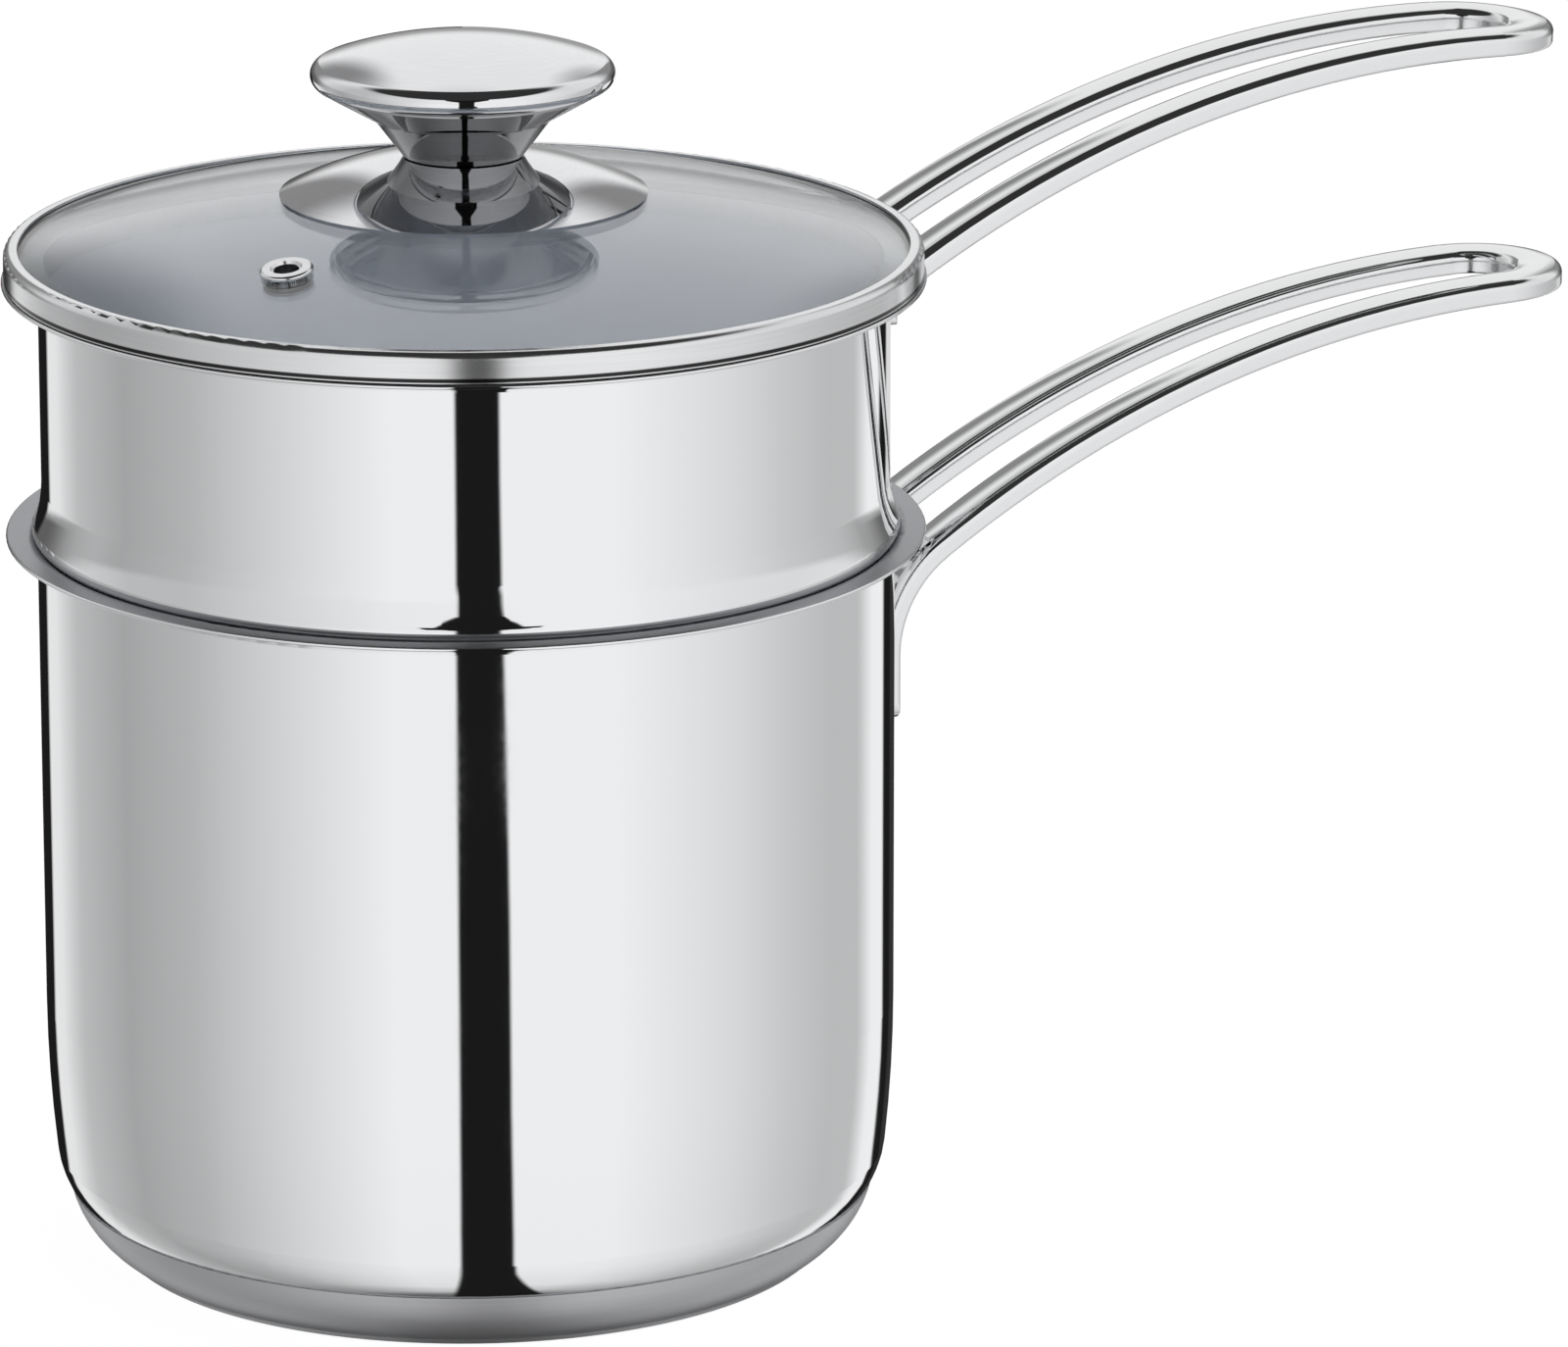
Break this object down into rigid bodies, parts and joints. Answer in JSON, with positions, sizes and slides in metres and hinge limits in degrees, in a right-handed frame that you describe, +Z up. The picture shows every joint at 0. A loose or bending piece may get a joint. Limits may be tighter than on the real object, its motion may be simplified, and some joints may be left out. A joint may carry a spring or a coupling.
{
  "type": "double boiler",
  "caption": "Double boiler: saucepan with loop handle, upper pan that hangs in its mouth, and a domed glass lid with a knob and a steam vent.",
  "frame": {"origin": "centre of the pot's underside", "axes": "+Z up along the pot's axis, +X along both handles, away from the pot"},
  "size_m": [0.3192, 0.1734, 0.2335],
  "materials": {
    "polished_steel": "mirror-polished stainless steel",
    "mirror_steel": "mirror-polished stainless steel",
    "handle_steel": "polished stainless steel bar",
    "satin_steel": "satin stainless steel",
    "plain_steel": "plain steel",
    "aluminium_core": "bare",
    "dark_silicone": "matt",
    "lid_glass": "clear tempered glass"
  },
  "bodies": {
    "pot": {"pot_shell": "polished_steel", "base_core": "aluminium_core", "base_cap": "satin_steel", "pot_handle": "handle_steel"},
    "upper_pan": {"insert_shell": "polished_steel", "insert_handle": "handle_steel"},
    "lid": {"lid_glass": "lid_glass", "lid_rim": "polished_steel", "rim_seal": "dark_silicone", "vent_eyelet": "polished_steel", "vent_seal": "dark_silicone", "rosette": "mirror_steel", "rosette_gasket": "dark_silicone", "knob_body": "mirror_steel", "knob_cap": "mirror_steel", "knob_bush": "plain_steel", "hole_sleeve": "dark_silicone", "inner_gasket": "dark_silicone", "inner_washer": "plain_steel", "lock_washer": "plain_steel", "knob_screw": "plain_steel"}
  },
  "joints": [
    {"name": "insert_lift", "type": "slide", "parent": "pot", "child": "upper_pan", "axis": [0, 0, 1], "range_m": [0, 0.11]},
    {"name": "lid_lift", "type": "slide", "parent": "upper_pan", "child": "lid", "axis": [0, 0, 1], "range_m": [0, 0.06]}
  ]
}
